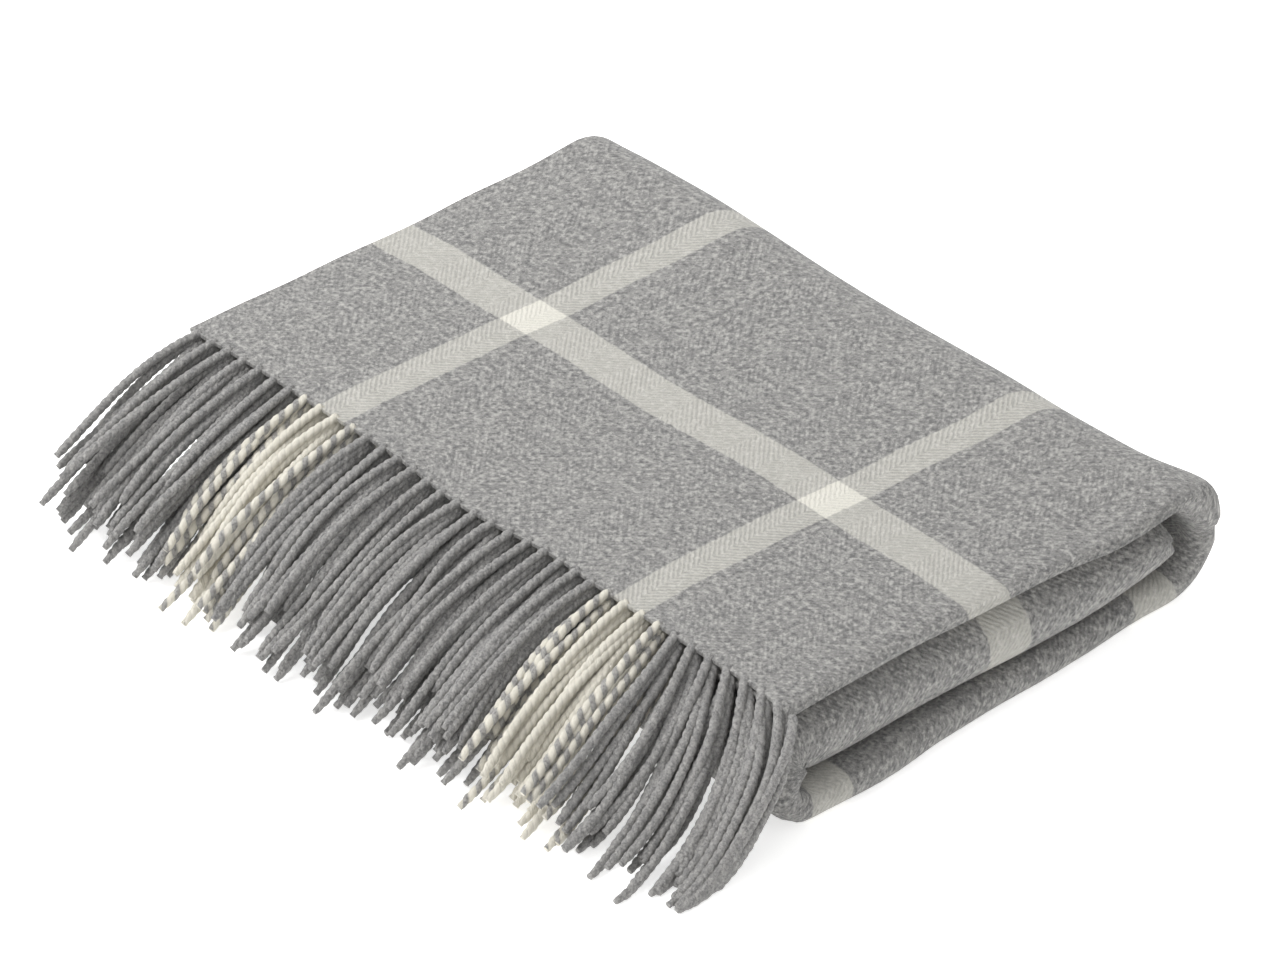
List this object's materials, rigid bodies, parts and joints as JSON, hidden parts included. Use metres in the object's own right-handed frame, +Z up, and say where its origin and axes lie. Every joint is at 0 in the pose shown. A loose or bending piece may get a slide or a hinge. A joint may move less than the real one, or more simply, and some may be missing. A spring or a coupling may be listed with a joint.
{
  "type": "folded throw blanket",
  "caption": "Fringed woven wool throw with a windowpane check, folded into a flat pad whose top leaf and fringe lift open.",
  "frame": {"origin": "under the centre of the whole folded throw, on the surface it lies on", "axes": "+X along the fringed edge towards the rounded width folds, +Y from the fringe to the back fold, +Z up"},
  "size_m": [0.35, 0.2996, 0.0543],
  "materials": {
    "grey_wool": "milled grey melange wool with cream check stripes",
    "grey_yarn": "twisted grey melange yarn",
    "marl_yarn": "cream ply twisted with a grey ply",
    "cream_yarn": "twisted cream yarn"
  },
  "bodies": {
    "pad": {"bottom_leaf": "grey_wool", "front_fold": "grey_wool", "middle_roll": "grey_wool", "end_fold": "grey_wool", "back_fold": "grey_wool"},
    "leaf": {"top_leaf": "grey_wool"},
    "fringe": {"tassels_row_1_grey": "grey_yarn", "tassels_row_1_marl": "marl_yarn", "tassels_row_1_cream": "cream_yarn", "tassels_row_2_grey": "grey_yarn", "tassels_row_2_marl": "marl_yarn", "tassels_row_2_cream": "cream_yarn", "tassels_row_3_grey": "grey_yarn", "tassels_row_3_marl": "marl_yarn", "tassels_row_3_cream": "cream_yarn", "tassels_row_4_grey": "grey_yarn", "tassels_row_4_marl": "marl_yarn", "tassels_row_4_cream": "cream_yarn", "tassels_row_5_grey": "grey_yarn", "tassels_row_5_marl": "marl_yarn", "tassels_row_5_cream": "cream_yarn", "tassels_row_6_grey": "grey_yarn", "tassels_row_6_marl": "marl_yarn", "tassels_row_6_cream": "cream_yarn", "tassels_row_7_grey": "grey_yarn", "tassels_row_7_marl": "marl_yarn", "tassels_row_7_cream": "cream_yarn", "tassels_row_8_grey": "grey_yarn", "tassels_row_8_marl": "marl_yarn", "tassels_row_8_cream": "cream_yarn"}
  },
  "joints": [
    {"name": "leaf_open", "type": "hinge", "parent": "pad", "child": "leaf", "pos_m": [0, 0.12235, 0.02715], "axis": [-1, 0, 0], "range_deg": [0, 179], "deforming": ["back_fold"]},
    {"name": "fringe_lift", "type": "hinge", "parent": "leaf", "child": "fringe", "pos_m": [0, -0.0725, 0.0543], "axis": [-1, 0, 0], "range_deg": [0, 30]}
  ]
}
